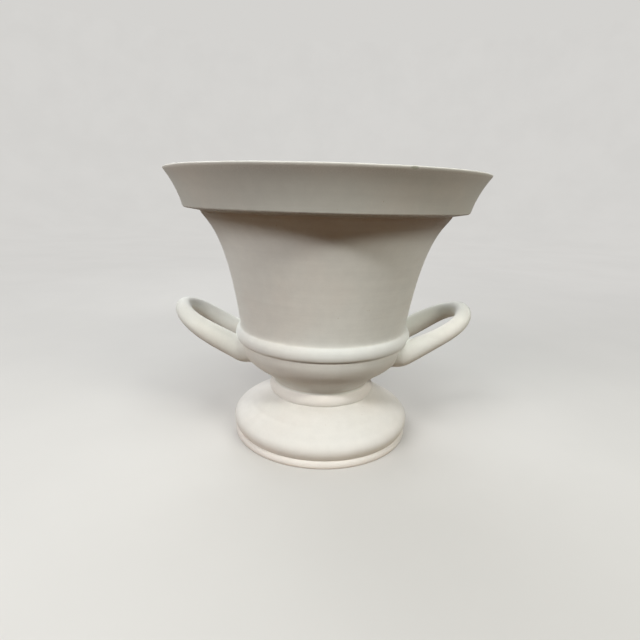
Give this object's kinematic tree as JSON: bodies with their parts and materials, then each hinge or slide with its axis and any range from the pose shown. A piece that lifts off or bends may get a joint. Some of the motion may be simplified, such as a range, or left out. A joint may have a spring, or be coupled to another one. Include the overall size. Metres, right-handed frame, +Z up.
{
  "type": "two-handled vase",
  "caption": "Campana vase with a flared rim band, concave bell wall, bead moulding, low bowl on a domed pedestal foot, and looped handles set low on the sides.",
  "frame": {"origin": "centre of the base, on the surface the vase stands on", "axes": "+Z up through the middle of the vase, the handles along +X and -X, the pictured front towards -Y"},
  "size_m": [0.218, 0.218, 0.191],
  "materials": {
    "body_clay": "matt off-white earthenware, faintly mottled",
    "foot_clay": "matt off-white earthenware, a touch warmer, rubbed on the edges",
    "handle_clay": "matt off-white earthenware, smoothed by hand"
  },
  "bodies": {
    "root": {"foot_plinth": "foot_clay", "foot_dome": "foot_clay", "stem_collar": "body_clay", "lower_bowl": "body_clay", "bead_ring": "body_clay", "bell_wall": "body_clay", "rim_band": "body_clay", "handle_left": "handle_clay", "handle_right": "handle_clay"}
  },
  "joints": []
}
